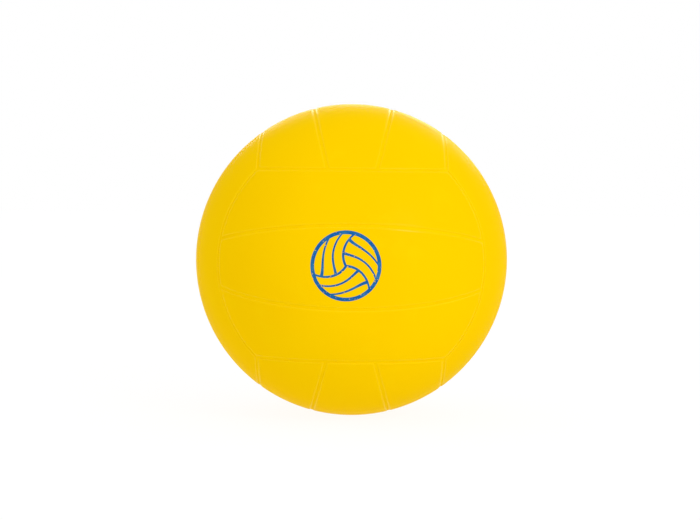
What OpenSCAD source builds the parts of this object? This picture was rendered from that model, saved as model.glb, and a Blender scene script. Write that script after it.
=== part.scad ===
// Indoor volleyball with a laminated cover: eighteen panels glued into the
// pockets of a rubber carcass, over a thread winding, a bladder and its valve.
// Millimetres. The origin is the ball's centre, +Z is up, the front face looks
// along -Y and the valve opens along +Y.

/* [Ball] */
// Outside diameter of the inflated ball
ball_d = 210; // [190:1:220]

/* [Cover panels] */
// Thickness of a panel with its foam backing
panel_t = 2.2; // [1.6:0.1:3.2]
// Angle from the middle of a face to the seam beside its middle panel
seam_angle = 14.4; // [12:0.1:17]
// Width of the channel between two panels
channel_w = 2; // [1.5:0.1:4]
// Width of the rolled edge along each side of a panel
roll_w = 1.2; // [0.8:0.1:3]
// Drop of the rolled edge where it meets the channel
roll_drop = 0.2; // [0.1:0.05:0.6]
// Depth of the channel's floor below the ball's surface
rib_drop = 0.35; // [0.2:0.05:0.8]

/* [Inner layers] */
// Thickness of the rubber carcass under the panels
carcass_t = 0.6; // [0.4:0.1:1.5]
// Thickness of the thread winding
winding_t = 0.4; // [0.3:0.1:1]
// Thickness of the bladder's wall
bladder_t = 0.5; // [0.4:0.1:1]
// Glue line between two layers
glue_gap = 0.1; // [0.05:0.05:0.2]

/* [Valve] */
// Depth of the valve's face below the ball's surface
valve_recess = 0.6; // [0.3:0.1:1.2]
// Length of the valve core
core_l = 19; // [16:0.5:24]
// Diameter of the valve core's shank
shank_d = 5.4; // [4.6:0.1:6]
// Diameter of the valve core's head
head_d = 7; // [6.4:0.1:7.6]
// Thickness of the valve core's head
head_t = 1.5; // [1:0.1:2]
// Diameter of the bulge that locks the core in its seat
bulge_d = 6.6; // [6.2:0.1:7]
// Diameter of the core's inner tip
tip_d = 3.2; // [2.8:0.1:4]
// Diameter of the passage for the inflating needle
needle_d = 2; // [1.6:0.1:2.4]
// Depth of the needle passage from the valve's face
needle_depth = 14; // [11:0.5:15]
// Diameter of the passage's mouth
mouth_d = 3.4; // [2.8:0.1:4]
// Depth of the passage's mouth
mouth_depth = 0.8; // [0.5:0.1:1.2]
// Diameter of the neck that comes up through the cover
neck_d = 10; // [9:0.1:12]
// Diameter of the stem inside the bladder, at its root
stem_d = 12; // [11:0.5:15]
// Diameter of the stem at its end
stem_end_d = 9.4; // [8.6:0.1:11]
// Length of the stem beyond the core's tip
stem_lip = 1.5; // [1:0.1:3]
// Diameter of the flange bonded inside the bladder
flange_d = 34; // [26:1:44]
// Thickness of the flange
flange_t = 0.9; // [0.6:0.1:1.5]
// Diameter of the air hole at the stem's end
air_hole_d = 2.4; // [1.6:0.1:2.8]
// Clearance around the neck and the core
valve_gap = 0.1; // [0.05:0.05:0.2]

/* [Hidden] */
$fn = 180;

// Radii of the layers, from the surface inwards
surface_r = ball_d / 2;
panel_in_r = surface_r - panel_t;
carcass_out_r = panel_in_r - glue_gap;
carcass_in_r = carcass_out_r - carcass_t;
winding_out_r = carcass_in_r - glue_gap;
winding_in_r = winding_out_r - winding_t;
bladder_out_r = winding_in_r - glue_gap;
bladder_in_r = bladder_out_r - bladder_t;
rib_r = surface_r - rib_drop;

// Three seams meet at each corner of a cube, so the seams that bound a face
// lie on cones around the cube's axes with the corner's own polar angle
corner_angle = acos(1 / sqrt(3));
// Distance from the ball's centre at which a cutter is well past the ball
reach = surface_r * 1.6;
// Room by which a cutter overshoots what it cuts
overshoot = 0.5;

// The rolled edge is an arc that leaves the surface at half its mean slope
roll_slope = atan(roll_drop / roll_w);
roll_r = norm([roll_w, roll_drop]) / (2 * sin(roll_slope / 2));

// Heights on the valve's axis, measured from the ball's centre
valve_face = surface_r - valve_recess;
head_z = valve_face - head_t;
tip_z = valve_face - core_l;
taper_l = shank_d - tip_d;
bulge_h = bulge_d - shank_d;
bulge_z = (head_z + tip_z) / 2;
stem_end = tip_z - stem_lip;
flange_out_r = bladder_in_r - glue_gap;
flange_mid_r = flange_out_r - flange_t / 2;
flange_in_r = flange_out_r - flange_t;

// Each face has its name, the turn that brings it from the pole into place and
// the names of its three panels
FACES = [
    ["front",  [90, 0, 0],      ["lower", "middle", "upper"]],
    ["back",   [90, 0, 180],    ["lower", "middle", "upper"]],
    ["top",    [0, 0, 90],      ["right", "middle", "left"]],
    ["bottom", [180, 0, 90],    ["left", "middle", "right"]],
    ["right",  [180, -90, 0],   ["back", "middle", "front"]],
    ["left",   [180, -90, 180], ["front", "middle", "back"]],
];
// A panel's place across its face: one side, the middle, the other side
STRIPS = [-1, 0, 1];
// The face whose middle panel has the valve, and the turn from +Z to the valve
valve_side = "back";
valve_turn = [-90, 0, 0];

function panel_name(face, strip) = str(face[0], "_", face[2][strip + 1], "_panel");

// Point beside a seam that lies at a polar angle from its axis: across is the
// distance from the seam towards the panel, out the distance along the seam's
// own radius. The panel lies at larger polar angles for into = 1, at smaller
// ones for into = -1.
function beside_seam(polar, into, across, out) =
    [out * sin(polar) + into * across * cos(polar),
     out * cos(polar) - into * across * sin(polar)];

// Distance along the seam's radius to a point that lies below the surface
function at_depth(across, depth) = sqrt(surface_r * surface_r - across * across) - depth;

// Section of the space above the rolled edge of a panel
module above_roll(polar, into) {
    wall = channel_w / 2;
    edge = wall + roll_w;
    low = beside_seam(polar, into, wall, at_depth(wall, roll_drop));
    high = beside_seam(polar, into, edge, at_depth(edge, 0));
    chord = (high - low) / norm(high - low);
    inward = into * [chord[1], -chord[0]];
    centre = (low + high) / 2 + inward * roll_r * cos(roll_slope / 2);
    below = surface_r - roll_drop - 2 * overshoot;
    difference() {
        polygon([
            beside_seam(polar, into, wall - overshoot, below),
            beside_seam(polar, into, edge + roll_drop, below),
            beside_seam(polar, into, edge + roll_drop, surface_r + overshoot),
            beside_seam(polar, into, wall - overshoot, surface_r + overshoot),
        ]);
        translate(centre) circle(r = roll_r);
    }
}

// Everything on the panel's side of a seam around Z, with its wall off the
// seam by the given distance and, if rolled, the panel's rolled edge
module seam_side(polar, into, stand_off, rolled) {
    rotate_extrude()
        difference() {
            polygon(concat(
                [[0, -into * stand_off / sin(polar)], beside_seam(polar, into, stand_off, reach)],
                into > 0 ? [[reach, -reach], [0, -reach]] : [[0, reach]]
            ));
            if (rolled) above_roll(polar, into);
        }
}

// Cuts its children to one strip of the face at the +Z pole: first at the
// strip's two ends, then at the seam on each side of it. A strip beside the
// middle one has the face's outer seam on its far side.
module cut_to_strip(strip, stand_off, rolled) {
    is_middle = strip == 0;
    rotate([0, 0, strip < 0 ? 180 : 0])
        intersection() {
            children();
            rotate([0, 0, 90])
                seam_side(corner_angle, -1, stand_off, rolled);
            rotate([is_middle ? 90 + seam_angle : 90 - seam_angle, 0, 0])
                seam_side(90, 1, stand_off, rolled);
            rotate([is_middle ? -90 - seam_angle : -90, 0, 0])
                seam_side(is_middle ? 90 : corner_angle, 1, stand_off, rolled);
        }
}

// Hollow sphere between two radii
module shell(outer_r, inner_r) {
    difference() {
        sphere(r = outer_r);
        sphere(r = inner_r);
    }
}

// Hole for the valve's neck through a layer
module neck_hole() {
    rotate(valve_turn) cylinder(h = reach, d = neck_d + 2 * valve_gap);
}

// One cover panel, cut to its strip with rolled edges
module panel(face, strip) {
    color("gold")
        difference() {
            rotate(face[1])
                cut_to_strip(strip, channel_w / 2, true)
                    rotate([90, 0, 0]) shell(surface_r, panel_in_r);
            if (face[0] == valve_side && strip == 0) neck_hole();
        }
}

// Rubber layer with a pocket for each panel, so that ribs stand in the channels
module rubber_carcass() {
    color("goldenrod")
        difference() {
            shell(rib_r, carcass_in_r);
            for (face = FACES)
                for (strip = STRIPS)
                    rotate(face[1])
                        cut_to_strip(strip, channel_w / 2 - glue_gap, false)
                            rotate([90, 0, 0]) shell(surface_r, carcass_out_r);
            neck_hole();
        }
}

// Layer of nylon thread wound round the bladder in every direction
module thread_winding() {
    color("ivory")
        difference() {
            shell(winding_out_r, winding_in_r);
            neck_hole();
        }
}

// Butyl bladder with the hole that its valve comes through
module bladder() {
    color("dimgray")
        difference() {
            shell(bladder_out_r, bladder_in_r);
            neck_hole();
        }
}

// Outline of the valve core without its passage, grown all round by a clearance
module core_outline(gap, face_z) {
    shank = shank_d / 2 + gap;
    polygon([
        [0, tip_z - gap],
        [tip_d / 2 + gap, tip_z - gap],
        [shank, tip_z + taper_l - gap],
        [shank, bulge_z - bulge_h],
        [bulge_d / 2 + gap, bulge_z],
        [shank, bulge_z + bulge_h],
        [shank, head_z - gap],
        [head_d / 2 + gap, head_z - gap],
        [head_d / 2 + gap, face_z],
        [0, face_z],
    ]);
}

// Rubber seat bonded to the bladder: a dished flange, a neck up through the
// cover and a stem that hangs inside and holds the core
module valve_seat() {
    color("black")
        rotate(valve_turn)
            difference() {
                union() {
                    intersection() {
                        shell(flange_out_r, flange_in_r);
                        cylinder(h = reach, d = flange_d);
                    }
                    translate([0, 0, stem_end])
                        cylinder(h = flange_in_r - stem_end, d1 = stem_end_d, d2 = stem_d);
                    translate([0, 0, flange_mid_r])
                        cylinder(h = valve_face - flange_mid_r, d = neck_d);
                }
                rotate_extrude() core_outline(valve_gap, surface_r);
                cylinder(h = tip_z, d = air_hole_d);
            }
}

// Soft rubber core with the passage that grips the inflating needle
module valve_core() {
    color("darkslategray")
        rotate(valve_turn)
            rotate_extrude()
                difference() {
                    core_outline(0, valve_face);
                    polygon([
                        [0, valve_face - needle_depth],
                        [needle_d / 2, valve_face - needle_depth],
                        [needle_d / 2, valve_face - mouth_depth],
                        [mouth_d / 2, valve_face],
                        [mouth_d / 2, surface_r],
                        [0, surface_r],
                    ]);
                }
}

for (face = FACES)
    for (strip = STRIPS)
        panel(face, strip);
rubber_carcass();
thread_winding();
bladder();
valve_seat();
valve_core();
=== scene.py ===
"""A yellow indoor volleyball: its cover panels, the channels between them, the valve and the inner layers."""
import math

import bpy
from mathutils import Euler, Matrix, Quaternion, Vector


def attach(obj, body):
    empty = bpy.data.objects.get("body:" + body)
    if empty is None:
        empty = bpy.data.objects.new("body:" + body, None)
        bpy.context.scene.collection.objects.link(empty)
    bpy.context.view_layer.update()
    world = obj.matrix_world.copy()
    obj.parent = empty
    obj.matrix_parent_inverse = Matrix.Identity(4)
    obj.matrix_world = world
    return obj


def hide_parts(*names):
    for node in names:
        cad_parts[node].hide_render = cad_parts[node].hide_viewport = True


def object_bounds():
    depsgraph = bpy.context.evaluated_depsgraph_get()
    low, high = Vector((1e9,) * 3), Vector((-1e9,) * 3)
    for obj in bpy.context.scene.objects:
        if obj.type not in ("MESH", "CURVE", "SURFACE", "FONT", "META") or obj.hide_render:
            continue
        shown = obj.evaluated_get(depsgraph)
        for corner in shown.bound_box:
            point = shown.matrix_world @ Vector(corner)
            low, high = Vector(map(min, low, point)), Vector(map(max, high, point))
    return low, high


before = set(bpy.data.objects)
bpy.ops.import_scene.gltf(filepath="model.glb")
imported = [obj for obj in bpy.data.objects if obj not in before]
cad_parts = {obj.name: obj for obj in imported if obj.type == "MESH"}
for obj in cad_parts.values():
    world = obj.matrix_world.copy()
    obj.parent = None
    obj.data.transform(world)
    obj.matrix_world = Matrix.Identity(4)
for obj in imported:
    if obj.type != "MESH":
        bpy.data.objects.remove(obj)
cad_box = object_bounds()

# Sizes of the cover, in metres and radians
BALL_RADIUS = cad_box[1].x
PANEL_THICKNESS = 0.0022
SEAM_ANGLE = math.radians(14.4)
CORNER_ANGLE = math.acos(1 / math.sqrt(3))
ROLL_WIDTH = 0.0013
ROLL_DROP = 0.0002
NECK_HOLE_RADIUS = 0.0051

# The channel is narrower than between the solids by most of its two glue lines, so that no slit shows
CHANNEL_WIDTH = 0.00182

# Grid of a panel: vertices along, across and through it, and the band along its edges that takes more of them
ALONG_VERTICES = 121
ACROSS_VERTICES = 49
THROUGH_VERTICES = 4
EDGE_BAND = 0.003
EDGE_STEPS = 9
SHARP_ANGLE = math.radians(35)

# The drill that makes the valve's hole, and how often a corner's place is refined
DRILL_VERTICES = 96
DRILL_LENGTH = 0.02
CORNER_PASSES = 3

# The turn in degrees that brings a face from the front into place, and the names of its strips from -1 to 1
FACES = {
    "front": ((0, 0, 0), ("lower", "middle", "upper")),
    "back": ((0, 0, 180), ("lower", "middle", "upper")),
    "top": ((-90, 0, -90), ("left", "middle", "right")),
    "bottom": ((90, 0, 90), ("left", "middle", "right")),
    "right": ((-90, 90, 0), ("front", "middle", "back")),
    "left": ((-90, -90, 0), ("front", "middle", "back")),
}
VALVE_PANEL = "back_middle"
PRINTED_PANEL = "front_middle"


class Wire:
    """A node's output. Arithmetic on it adds Math nodes to its tree."""

    def __init__(self, tree, socket=None):
        self.tree = tree
        self.socket = socket

    def node(self, kind, sockets=None, output=0, **settings):
        """Adds a node, with its settings first and then its sockets' values or links, and gives an output."""
        made = self.tree.nodes.new(kind)
        for name, value in settings.items():
            setattr(made, name, value)
        for key, value in (sockets or {}).items():
            if isinstance(value, Wire):
                self.tree.links.new(value.socket, made.inputs[key])
            else:
                made.inputs[key].default_value = value
        return Wire(self.tree, made.outputs[output]) if made.outputs else Wire(self.tree)

    def other(self, output):
        """Another output of the same node."""
        return Wire(self.tree, self.socket.node.outputs[output])

    def math(self, operation, *terms):
        return self.node("ShaderNodeMath", dict(enumerate(terms)), operation=operation)

    def __add__(self, term):
        return self.math("ADD", self, term)

    def __radd__(self, term):
        return self.math("ADD", term, self)

    def __sub__(self, term):
        return self.math("SUBTRACT", self, term)

    def __rsub__(self, term):
        return self.math("SUBTRACT", term, self)

    def __mul__(self, term):
        return self.math("MULTIPLY", self, term)

    def __rmul__(self, term):
        return self.math("MULTIPLY", term, self)

    def __truediv__(self, term):
        return self.math("DIVIDE", self, term)

    def __rtruediv__(self, term):
        return self.math("DIVIDE", term, self)

    def __pow__(self, term):
        return self.math("POWER", self, term)

    def __neg__(self):
        return self.math("MULTIPLY", self, -1.0)

    def __abs__(self):
        return self.math("ABSOLUTE", self)

    def sin(self):
        return self.math("SINE", self)

    def cos(self):
        return self.math("COSINE", self)

    def arcsin(self):
        return self.math("ARCSINE", self)

    def arccos(self):
        return self.math("ARCCOSINE", self)

    def arctan(self):
        return self.math("ARCTANGENT", self)

    def root(self):
        return self.math("SQRT", self)

    def sign(self):
        return self.math("SIGN", self)

    def turn_from(self, across):
        return self.math("ARCTAN2", self, across)

    def rest_of(self, period):
        return self.math("FLOORED_MODULO", self, period)

    def least(self, term):
        return self.math("MINIMUM", self, term)

    def most(self, term):
        return self.math("MAXIMUM", self, term)

    def ramp(self, low, high, to_low=0.0, to_high=1.0):
        """Goes smoothly from one value to another as this goes from low to high."""
        sockets = {0: self, 1: low, 2: high, 3: to_low, 4: to_high}
        return self.node("ShaderNodeMapRange", sockets, interpolation_type="SMOOTHSTEP")

    def mixed(self, colour, other):
        """One colour where this is 0, the other where it is 1."""
        sockets = {0: self, 6: colour, 7: other}
        return self.node("ShaderNodeMix", sockets, output=2, data_type="RGBA")


# Cover panels, by Geometry Nodes

PANEL_INPUTS = {
    "Ball Radius": BALL_RADIUS,
    "Panel Thickness": PANEL_THICKNESS,
    "Seam Angle": SEAM_ANGLE,
    "Channel Width": CHANNEL_WIDTH,
    "Roll Width": ROLL_WIDTH,
    "Roll Drop": ROLL_DROP,
    "Hole Radius": NECK_HOLE_RADIUS,
}


def between(low, high, share):
    return low + (high - low) * share


def from_zero(grid):
    """A grid from -1 to 1, brought to 0 to 1."""
    return grid * 0.5 + 0.5


def crowded_edge(grid, steps, half_length):
    """Spreads a grid from -1 to 1 so that its last steps crowd into the band along the edge."""
    step_share = 2 * EDGE_STEPS / steps
    band_share = EDGE_BAND / half_length
    reach = abs(grid)
    inner = (reach / (1 - step_share)).least(1.0) * (1 - band_share)
    left = 1.0 - (reach - (1 - step_share)).most(0.0) / step_share
    return (inner + band_share * (1.0 - left * left)) * grid.sign()


def drilled(start, panel, radius):
    """The panel with a round hole through the middle of its face."""
    size = {"Vertices": DRILL_VERTICES, "Radius": radius, "Depth": DRILL_LENGTH}
    drill = start.node("GeometryNodeMeshCylinder", size)
    aim = {"Geometry": drill, "Translation": (0, -BALL_RADIUS, 0), "Rotation": (math.pi / 2, 0, 0)}
    drill = start.node("GeometryNodeTransform", aim)
    meshes = {"Mesh 1": panel, "Mesh 2": drill}
    return start.node("GeometryNodeMeshBoolean", meshes, operation="DIFFERENCE")


def panel_tree(is_middle, has_hole):
    """A panel of the front face, the middle one or the one above it, with its edges on the seams' curves."""
    tree = bpy.data.node_groups.new("panel_by_seams", "GeometryNodeTree")
    for name in PANEL_INPUTS:
        tree.interface.new_socket(name, in_out="INPUT", socket_type="NodeSocketFloat")
    tree.interface.new_socket("Turn", in_out="INPUT", socket_type="NodeSocketRotation")
    tree.interface.new_socket("Finish", in_out="INPUT", socket_type="NodeSocketMaterial")
    tree.interface.new_socket("Panel", in_out="OUTPUT", socket_type="NodeSocketGeometry")
    start = Wire(tree)
    given = start.node("NodeGroupInput")
    radius = given.other("Ball Radius")
    thickness = given.other("Panel Thickness")
    seam_angle = given.other("Seam Angle")
    wall = given.other("Channel Width") / 2
    roll_width = given.other("Roll Width")

    # A closed block, whose three directions run along the panel, across it and through it
    vertices = {"Vertices X": ALONG_VERTICES, "Vertices Y": ACROSS_VERTICES, "Vertices Z": THROUGH_VERTICES}
    block = start.node("GeometryNodeMeshCube", {"Size": (2, 2, 2), **vertices})
    place = start.node("ShaderNodeSeparateXYZ", {0: start.node("GeometryNodeInputPosition")})
    half_length = BALL_RADIUS * CORNER_ANGLE
    outer_half_angle = (math.pi / 2 - CORNER_ANGLE - SEAM_ANGLE) / 2
    half_width = BALL_RADIUS * (SEAM_ANGLE if is_middle else outer_half_angle)
    along = crowded_edge(place, ALONG_VERTICES - 1, half_length)
    across = from_zero(crowded_edge(place.other("Y"), ACROSS_VERTICES - 1, half_width))
    through = from_zero(place.other("Z"))

    # The end seams are on a cone around the face's middle, the outer seam on one around the axis above it
    half_channel = (wall / radius).arcsin()
    end_polar = CORNER_ANGLE - half_channel
    outer_polar = CORNER_ANGLE + half_channel
    end_cosine = end_polar.cos()
    outer_cosine = outer_polar.cos()

    def end_latitude(turn):
        return (end_cosine / turn.cos()).arccos()

    def inner_edge(latitude, side):
        return seam_angle + side * (wall / (radius * latitude.cos())).arcsin()

    def inner_corner(side):
        turn = seam_angle
        for _ in range(CORNER_PASSES):
            turn = inner_edge(end_latitude(turn), side)
        return end_latitude(turn), turn

    if is_middle:
        high_latitude, high_turn = inner_corner(-1)
        low_turn = -high_turn
        high_edge = inner_edge(along * high_latitude, -1)
        low_edge = -high_edge
    else:
        low_latitude, low_turn = inner_corner(1)
        high_turn = (outer_cosine / end_cosine).arctan()
        high_latitude = end_latitude(high_turn)
        low_edge = inner_edge(along * low_latitude, 1)
        high_edge = (outer_cosine / (along * high_latitude).cos()).arcsin()
    latitude = along * end_latitude(between(low_turn, high_turn, across))
    turn = between(low_edge, high_edge, across)

    # Distance from each wall along the surface, and the roll that brings the surface down there
    flat = latitude.cos()
    from_end = radius * (end_polar - (flat * turn.cos()).arccos())
    if is_middle:
        from_low = radius * flat * (seam_angle + turn).sin() - wall
        from_high = radius * flat * (seam_angle - turn).sin() - wall
    else:
        from_low = radius * flat * (turn - seam_angle).sin() - wall
        from_high = radius * ((flat * turn.sin()).arccos() - outer_polar)
    level = 1.0
    for distance in (from_end, from_low, from_high):
        near = 1.0 - (distance / roll_width).most(0.0).least(1.0)
        level = level * (1.0 - near * near)
    roll = 1.0 - level
    height = between(radius - thickness, radius - given.other("Roll Drop") * roll, through)

    # The roll is kept on the mesh for the finish, and then the block's points go to their places
    point = {
        "X": height * latitude.sin(),
        "Y": -(height * flat * turn.cos()),
        "Z": height * flat * turn.sin(),
    }
    point = start.node("ShaderNodeCombineXYZ", point)
    stored = {"Geometry": block, "Name": "roll", "Value": roll}
    block = start.node("GeometryNodeStoreNamedAttribute", stored, data_type="FLOAT", domain="POINT")
    panel = start.node("GeometryNodeSetPosition", {"Geometry": block, "Position": point})
    if has_hole:
        panel = drilled(start, panel, given.other("Hole Radius"))
    is_gentle = start.math("LESS_THAN", start.node("GeometryNodeInputMeshEdgeAngle"), SHARP_ANGLE)
    shading = {"Geometry": panel, "Shade Smooth": is_gentle}
    panel = start.node("GeometryNodeSetShadeSmooth", shading, domain="EDGE")
    panel = start.node("GeometryNodeTransform", {"Geometry": panel, "Rotation": given.other("Turn")})
    panel = start.node("GeometryNodeRealizeInstances", {"Geometry": panel})
    panel = start.node("GeometryNodeSetMaterial", {"Geometry": panel, "Material": given.other("Finish")})
    start.node("NodeGroupOutput", {"Panel": panel})
    return tree


def baked(name, tree, values):
    """An object whose mesh is what the tree makes of the values of its inputs."""
    piece = bpy.data.objects.new(name, bpy.data.meshes.new(name))
    bpy.context.scene.collection.objects.link(piece)
    modifier = piece.modifiers.new("shape", "NODES")
    modifier.node_group = tree
    for item in tree.interface.items_tree:
        if item.in_out == "INPUT":
            modifier[item.identifier] = values[item.name]
    ready = piece.evaluated_get(bpy.context.evaluated_depsgraph_get())
    mesh = bpy.data.meshes.new_from_object(ready)
    mesh.name = name
    piece.modifiers.clear()
    piece.data = mesh
    return piece


def cover_panels(finish, printed_finish):
    """The eighteen panels, each in place of its CAD node."""
    for face, (turn, strip_names) in FACES.items():
        face_turn = Euler([math.radians(angle) for angle in turn]).to_matrix()
        for strip, strip_name in zip((-1, 0, 1), strip_names):
            name = f"{face}_{strip_name}"
            tree = panel_tree(is_middle=strip == 0, has_hole=name == VALVE_PANEL)
            half_turn = Euler((0, math.pi if strip < 0 else 0, 0)).to_matrix()
            values = {
                **PANEL_INPUTS,
                "Turn": (face_turn @ half_turn).to_euler(),
                "Finish": printed_finish if name == PRINTED_PANEL else finish,
            }
            piece = baked(f"{name}_cover", tree, values)
            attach(piece, "root")
            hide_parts(f"{name}_panel")


# Finishes

def linear(red, green, blue):
    """A colour given as on a screen, in the values that a shader takes."""
    screen = (red / 255, green / 255, blue / 255)
    return (*[c / 12.92 if c <= 0.04045 else ((c + 0.055) / 1.055) ** 2.4 for c in screen], 1.0)


YELLOW = linear(254, 207, 0)
YELLOW_DEEP = linear(253, 204, 0)
# The channel floor's yellows, a touch lighter than the cover's: painted light that offsets the shade in the
# channels
YELLOW_FLOOR_PAINTED_LIGHT = linear(254, 209, 0)
YELLOW_FLOOR_DEEP_PAINTED_LIGHT = linear(252, 205, 0)
YELLOW_PALE = linear(254, 214, 6)
# A paler yellow: painted light on the rolled edges, and the tint of the sheen
YELLOW_SHEEN_AND_PAINTED_LIGHT = linear(255, 224, 4)
PRINT_BLUE = linear(20, 96, 168)
PRINT_BLUE_THIN = linear(52, 120, 172)
THREAD_PALE = linear(236, 232, 214)
THREAD_DARK = linear(196, 188, 162)
RUBBER_BLACK = linear(28, 28, 29)
RUBBER_GREY = linear(50, 50, 52)

# How often the patterns repeat in a metre
DRIFT_SCALE = 9.0
CLOUD_SCALE = 55.0
GRAIN_SCALE = 2600.0
PORE_SCALE = 1500.0
WEAR_SCALE = 900.0
INK_SCALE = 260.0
FLOOR_CLOUD_SCALE = 120.0
STRAND_SCALE = 260.0
BLOOM_SCALE = 180.0
RUBBER_GRAIN_SCALE = 3000.0

# The part of a pattern's range over which a finish goes from one value to another
NOISE_RANGE = (0.3, 0.7)
DRIFT_RANGE = (0.35, 0.65)
PALE_RANGE = (0.55, 0.8)
WEAR_RANGE = (0.3, 0.36)
INK_RANGE = (0.35, 0.75)
FLOOR_CLOUD_RANGE = (0.35, 0.7)
STRAND_RANGE = (0.4, 0.95)
STRAND_GLOSS_RANGE = (0.3, 1.0)
BLOOM_RANGE = (0.4, 0.8)

# Roughness, and what the patterns change in it
COVER_ROUGHNESS = 0.3
CLOUD_ROUGHNESS = 0.03
GRAIN_ROUGHNESS = 0.02
INK_ROUGHNESS = 0.05
ROLL_POLISH = 0.05
FLOOR_ROUGHNESS = (0.42, 0.5)
STRAND_ROUGHNESS = (0.85, 0.6)
BLOOM_ROUGHNESS = 0.06
BLADDER_ROUGHNESS = 0.7
SEAT_ROUGHNESS = 0.55
CORE_ROUGHNESS = 0.5

# How much the cover takes of its paler mottling, of the painted light on its rolled edges and of its coat,
# and its grain's height of noise and pores
PALE_SHARE = 0.25
PAINTED_SHOULDER_LIGHT_SHARE = 0.25
SHOULDER_COAT = 0.35
SHOULDER_POWER = 0.5
NOISE_HEIGHT = 0.6
PORE_HEIGHT = 0.4

# Turns of the thread's three directions, in radians
STRAND_TURNS = ((0.3, 0.2, 0.0), (1.2, 0.5, 0.9), (0.4, 1.3, 2.1))


def new_finish(name):
    """An empty material, and the wire that its nodes start from."""
    finish = bpy.data.materials.new(name)
    finish.use_nodes = True
    finish.node_tree.nodes.clear()
    return finish, Wire(finish.node_tree)


def surfaced(start, sockets):
    """Ends a material in one shader with these sockets."""
    shader = start.node("ShaderNodeBsdfPrincipled", sockets)
    start.node("ShaderNodeOutputMaterial", {"Surface": shader})


def noise(start, at, scale, detail=2.0):
    return start.node("ShaderNodeTexNoise", {"Vector": at, "Scale": scale, "Detail": detail})


def grained(start, height, distance, strength):
    """A bump from a height, in metres."""
    return start.node("ShaderNodeBump", {"Strength": strength, "Distance": distance, "Height": height})


def ball_mark(start, at):
    """A plain printed pictogram of a ball: a ring, and in each third of it lines that curl outwards."""
    middle_x = -0.0034
    middle_z = 0.001
    ring_radius = 0.0208
    ring_half = 0.0012
    line_half = 0.0008
    line_steps = (0.0072, 0.0144)
    curl = 38.0
    third = 2 * math.pi / 3
    soft = 0.00015
    split = start.node("ShaderNodeSeparateXYZ", {0: at})
    x = split - middle_x
    z = split.other("Z") - middle_z
    reach = (x * x + z * z).root()
    angle = (z.turn_from(x) + reach * curl).rest_of(third)
    step = reach * angle.sin()
    line = abs(step).least(reach * abs((third - angle).sin()))
    for offset in line_steps:
        line = line.least(abs(step - offset))
    line = (line - line_half).most(reach - ring_radius)
    ring = abs(reach - ring_radius) - ring_half
    return line.least(ring).ramp(-soft, soft, 1.0, 0.0)


def cover_finish(name, is_printed):
    """Satin yellow skin with a fine grain, smoother where it rolls into the channels, and a little paler
    there: painted light that offsets the channels' shade and draws pale lines along the seams.
    """
    finish, start = new_finish(name)
    at = start.node("ShaderNodeTexCoord", output="Object")
    roll = start.node("ShaderNodeAttribute", output="Fac", attribute_name="roll")
    shoulder = roll ** SHOULDER_POWER
    drift = noise(start, at, DRIFT_SCALE)
    cloud = noise(start, at, CLOUD_SCALE, detail=3.0)
    grain = noise(start, at, GRAIN_SCALE)
    pore = start.node("ShaderNodeTexVoronoi", {"Vector": at, "Scale": PORE_SCALE})
    colour = drift.ramp(*DRIFT_RANGE).mixed(YELLOW, YELLOW_DEEP)
    colour = (cloud.ramp(*PALE_RANGE) * PALE_SHARE).mixed(colour, YELLOW_PALE)
    # Painted light: a paler yellow on the rolled edges offsets the shade in the channels and draws pale lines
    # along the seams
    colour = (shoulder * PAINTED_SHOULDER_LIGHT_SHARE).mixed(colour, YELLOW_SHEEN_AND_PAINTED_LIGHT)
    rough = COVER_ROUGHNESS + cloud.ramp(*NOISE_RANGE, -CLOUD_ROUGHNESS, CLOUD_ROUGHNESS)
    rough = rough + grain.ramp(*NOISE_RANGE, -GRAIN_ROUGHNESS, GRAIN_ROUGHNESS) - roll * ROLL_POLISH
    if is_printed:
        wear = noise(start, at, WEAR_SCALE, detail=3.0).ramp(*WEAR_RANGE)
        mark = ball_mark(start, at) * wear
        ink = noise(start, at, INK_SCALE).ramp(*INK_RANGE).mixed(PRINT_BLUE, PRINT_BLUE_THIN)
        colour = mark.mixed(colour, ink)
        rough = rough + mark * INK_ROUGHNESS
    height = grain * NOISE_HEIGHT + pore * PORE_HEIGHT
    sockets = {
        "Base Color": colour,
        "Roughness": rough,
        "Specular IOR Level": 0.001,
        "Coat Weight": shoulder * SHOULDER_COAT,
        "Coat Roughness": 0.2,
        "Coat IOR": 1.25,
        "Sheen Weight": 0.13,
        "Sheen Roughness": 0.3,
        "Sheen Tint": YELLOW_SHEEN_AND_PAINTED_LIGHT,
        "Normal": grained(start, height, distance=0.00002, strength=0.25),
    }
    surfaced(start, sockets)
    return finish


def channel_finish():
    """Yellow rubber on the carcass, whose ribs are the floor of the channels, shaded round like the ball. Its
    yellow is a touch lighter than the cover's, painted light that offsets the shade in the channels.
    """
    finish, start = new_finish("carcass_rubber")
    at = start.node("ShaderNodeTexCoord", output="Object")
    cloud = noise(start, at, FLOOR_CLOUD_SCALE, detail=3.0)
    outward = start.node("ShaderNodeVectorMath", {0: at}, operation="NORMALIZE")
    sockets = {
        # Painted light: the floor's yellow is lighter to offset the shade in the channels
        "Base Color": cloud.ramp(*FLOOR_CLOUD_RANGE).mixed(YELLOW_FLOOR_PAINTED_LIGHT, YELLOW_FLOOR_DEEP_PAINTED_LIGHT),
        "Roughness": cloud.ramp(*NOISE_RANGE, *FLOOR_ROUGHNESS),
        "Specular IOR Level": 0.001,
        "Normal": outward,
    }
    surfaced(start, sockets)
    return finish


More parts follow.
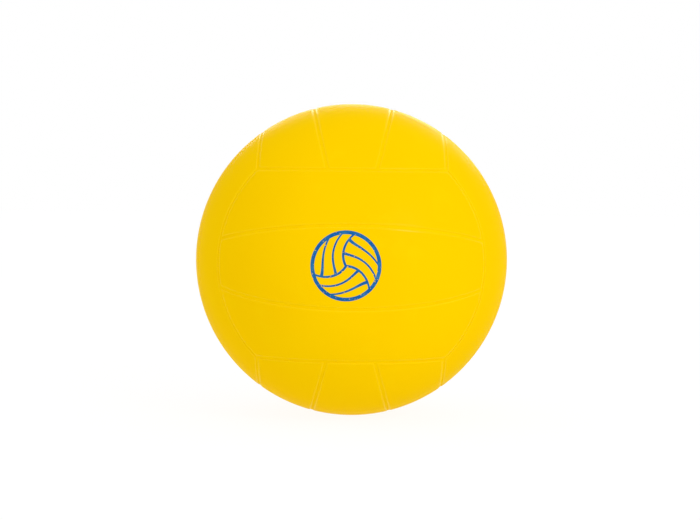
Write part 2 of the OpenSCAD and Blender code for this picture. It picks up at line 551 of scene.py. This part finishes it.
def thread_finish():
    """Nylon thread laid over the bladder in three directions."""
    finish, start = new_finish("wound_thread")
    at = start.node("ShaderNodeTexCoord", output="Object")
    lay = None
    for turn in STRAND_TURNS:
        turned = start.node("ShaderNodeMapping", {"Vector": at, "Rotation": turn})
        sockets = {"Vector": turned, "Scale": STRAND_SCALE, "Distortion": 1.5, "Detail": 2.0}
        strand = start.node("ShaderNodeTexWave", sockets, output="Fac", bands_direction="X")
        lay = strand if lay is None else lay.most(strand)
    sockets = {
        "Base Color": lay.ramp(*STRAND_RANGE).mixed(THREAD_DARK, THREAD_PALE),
        "Roughness": lay.ramp(*STRAND_GLOSS_RANGE, *STRAND_ROUGHNESS),
        "Normal": grained(start, lay, distance=0.0002, strength=0.6),
    }
    surfaced(start, sockets)
    return finish


def rubber_finish(name, roughness):
    """Black moulded rubber with a faint grey bloom."""
    finish, start = new_finish(name)
    at = start.node("ShaderNodeTexCoord", output="Object")
    bloom = noise(start, at, BLOOM_SCALE, detail=4.0)
    grain = noise(start, at, RUBBER_GRAIN_SCALE)
    sockets = {
        "Base Color": bloom.ramp(*BLOOM_RANGE).mixed(RUBBER_BLACK, RUBBER_GREY),
        "Roughness": bloom.ramp(*NOISE_RANGE, roughness - BLOOM_ROUGHNESS, roughness + BLOOM_ROUGHNESS),
        "Normal": grained(start, grain, distance=0.00003, strength=0.3),
    }
    surfaced(start, sockets)
    return finish


def dress(node, finish):
    """Gives a CAD node its finish."""
    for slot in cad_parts[node].material_slots:
        slot.material = finish


# Stage, light and camera

WHITE = (1.0, 1.0, 1.0, 1.0)
FLOOR_SIZE = 12.0
FLOOR_COLOUR = (0.95, 0.95, 0.95, 1.0)

# How much of the floor glows evenly, where it is seen and where it only lights the ball, and how strongly
FLOOR_WHITE = 0.88
FLOOR_GLOW = 0.75
FLOOR_LEVEL = 1.03
BOUNCE_LEVEL = 0.91
AMBIENT_LEVEL = 0.85

# The lamps, in metres and watts. The last two show only in the gloss, along the top edge and on the right
KEY_LIGHT = {"place": (1.05, -1.38, 0.86), "width": 0.9, "height": 0.5, "power": 8.2}
RIM_LIGHT = {"place": (0.1, 1.5, 0.64), "width": 1.3, "height": 0.7, "power": 12.5}
GLINT_LIGHT = {"place": (1.22, -1.3, 0.93), "width": 0.5, "height": 0.3, "power": 32.0}

# Where the camera stands, and the ball's place and size in the photo, in pixels
CAMERA_DISTANCE = 11 * BALL_RADIUS
CAMERA_ELEVATION = math.radians(2.8)
CAMERA_ROLL = math.radians(0.6)
PHOTO_WIDTH = 700
PHOTO_HEIGHT = 520
PHOTO_CENTRE_X = 351.5
PHOTO_CENTRE_Y = 259.5
PHOTO_RADIUS = 155.5


def shown(start):
    """1 for the camera's own rays and for mirrored or refracted ones, which see the same white."""
    path = start.node("ShaderNodeLightPath", output="Is Camera Ray")
    return path.most(path.other("Is Glossy Ray")).most(path.other("Is Transmission Ray"))


def pale_floor():
    """A white table under the ball, which keeps a soft shadow."""
    half = FLOOR_SIZE / 2
    mesh = bpy.data.meshes.new("floor")
    corners = [(-half, -half), (half, -half), (half, half), (-half, half)]
    mesh.from_pydata([(x, y, cad_box[0].z) for x, y in corners], [], [(0, 1, 2, 3)])
    floor = bpy.data.objects.new("floor", mesh)
    bpy.context.scene.collection.objects.link(floor)
    finish, start = new_finish("floor_white")
    seen = shown(start)
    lit = start.node("ShaderNodeBsdfDiffuse", {"Color": FLOOR_COLOUR})
    level = between(BOUNCE_LEVEL, FLOOR_LEVEL, seen)
    white = start.node("ShaderNodeEmission", {"Color": WHITE, "Strength": level})
    glow = between(FLOOR_GLOW, FLOOR_WHITE, seen)
    shader = start.node("ShaderNodeMixShader", {0: glow, 1: lit, 2: white})
    start.node("ShaderNodeOutputMaterial", {"Surface": shader})
    mesh.materials.append(finish)


def studio_world():
    """White behind the ball and in its gloss, and an even light from all round."""
    world = bpy.data.worlds.new("studio")
    world.use_nodes = True
    world.node_tree.nodes.clear()
    bpy.context.scene.world = world
    start = Wire(world.node_tree)
    level = between(AMBIENT_LEVEL, 1.0, shown(start))
    light = start.node("ShaderNodeBackground", {"Color": WHITE, "Strength": level})
    start.node("ShaderNodeOutputWorld", {"Surface": light})


def softbox(name, place, width, height, power, only_gloss=False):
    """An upright area light that looks at the ball, or one that shows in its gloss and lights nothing."""
    lamp = bpy.data.lights.new(name, "AREA")
    lamp.shape = "RECTANGLE"
    lamp.size = width
    lamp.size_y = height
    lamp.energy = power
    box = bpy.data.objects.new(name, lamp)
    box.location = place
    box.visible_diffuse = not only_gloss
    box.rotation_euler = (-Vector(place)).to_track_quat("-Z", "Y").to_euler()
    bpy.context.scene.collection.objects.link(box)


def photo_camera():
    """Stands where the photo was taken from: in front of the ball, a little above it and hardly tipped."""
    lens = bpy.data.cameras.new("camera")
    camera = bpy.data.objects.new("camera", lens)
    bpy.context.scene.collection.objects.link(camera)
    back = Vector((0, -math.cos(CAMERA_ELEVATION), math.sin(CAMERA_ELEVATION)))
    camera.location = back * CAMERA_DISTANCE
    camera.rotation_mode = "QUATERNION"
    camera.rotation_quaternion = (-back).to_track_quat("-Z", "Y") @ Quaternion((0, 0, 1), CAMERA_ROLL)
    edge_distance = math.sqrt(CAMERA_DISTANCE ** 2 - BALL_RADIUS ** 2)
    lens.lens = lens.sensor_width * PHOTO_RADIUS * edge_distance / BALL_RADIUS / PHOTO_WIDTH
    lens.shift_x = (PHOTO_WIDTH / 2 - PHOTO_CENTRE_X) / PHOTO_WIDTH
    lens.shift_y = (PHOTO_CENTRE_Y - PHOTO_HEIGHT / 2) / PHOTO_WIDTH
    bpy.context.scene.camera = camera


plain_cover = cover_finish("yellow_cover", is_printed=False)
printed_cover = cover_finish("printed_cover", is_printed=True)
cover_panels(plain_cover, printed_cover)
dress("rubber_carcass", channel_finish())
dress("thread_winding", thread_finish())
dress("bladder", rubber_finish("bladder_rubber", BLADDER_ROUGHNESS))
dress("valve_seat", rubber_finish("valve_rubber", SEAT_ROUGHNESS))
dress("valve_core", rubber_finish("valve_core_rubber", CORE_ROUGHNESS))

pale_floor()
studio_world()
softbox("key_light", **KEY_LIGHT)
softbox("rim_light", **RIM_LIGHT, only_gloss=True)
softbox("glint_light", **GLINT_LIGHT, only_gloss=True)
photo_camera()
bpy.context.scene.view_settings.view_transform = "Standard"
